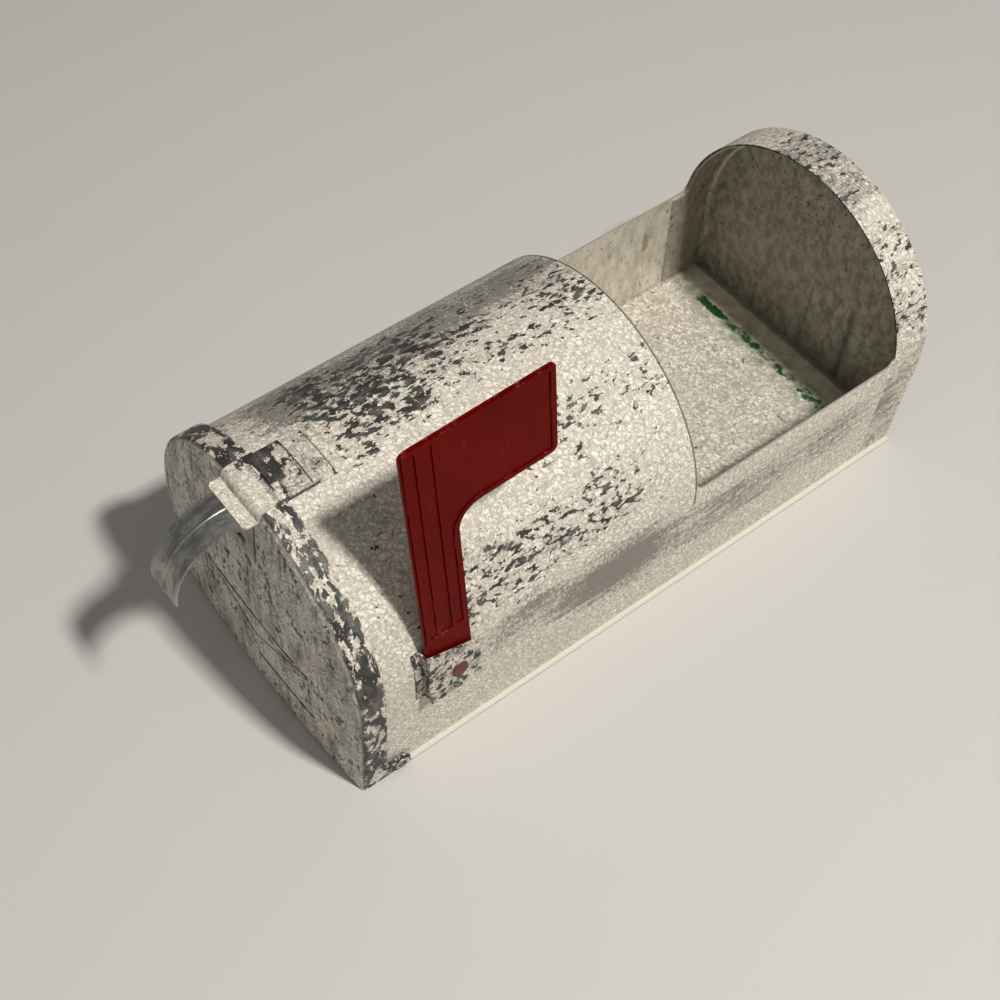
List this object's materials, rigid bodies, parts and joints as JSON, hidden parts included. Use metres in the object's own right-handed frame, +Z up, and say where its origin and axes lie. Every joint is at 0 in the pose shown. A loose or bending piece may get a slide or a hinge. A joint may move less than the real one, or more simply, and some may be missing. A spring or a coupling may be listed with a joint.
{
  "type": "post box",
  "caption": "Arched sheet-metal post box with a hinged front door, a snap latch with a pull handle, an open tray behind the roof and a turning signal flag.",
  "frame": {"origin": "centre of the base that the box rests on, on its plane of left-right symmetry and half way along the body", "axes": "+Z up, -Y out of the door end, +X towards the side that carries the flag"},
  "size_m": [0.1444, 0.3406, 0.1941],
  "materials": {
    "whitewashed_steel": "matt distressed whitewash over galvanised steel",
    "bare_galvanised": "dull weathered zinc",
    "bright_hardware": "satin",
    "red_paint": "glossy deep red with light scuffs"
  },
  "bodies": {
    "box": {"body_shell": "whitewashed_steel", "floor_panel": "whitewashed_steel", "back_wall": "bare_galvanised", "hinge_eyelets": "bright_hardware", "hinge_washers": "bright_hardware", "catch_plate": "whitewashed_steel", "flag_bracket": "whitewashed_steel", "flag_backing_plate": "bare_galvanised", "flag_washer": "bright_hardware", "flag_pivot_rivet": "red_paint"},
    "door": {"door_panel": "whitewashed_steel", "latch_strap": "whitewashed_steel", "pull_handle": "bare_galvanised", "handle_rivets": "bright_hardware"},
    "signal_flag": {"flag": "red_paint"}
  },
  "joints": [
    {"name": "door_hinge", "type": "hinge", "parent": "box", "child": "door", "pos_m": [0, -0.133, 0.0054], "axis": [1, 0, 0], "range_deg": [0, 90]},
    {"name": "flag_pivot", "type": "hinge", "parent": "box", "child": "signal_flag", "pos_m": [0.06825, -0.1075, 0.05975], "axis": [-0.9962, 0, -0.0872], "range_deg": [0, 90]}
  ]
}
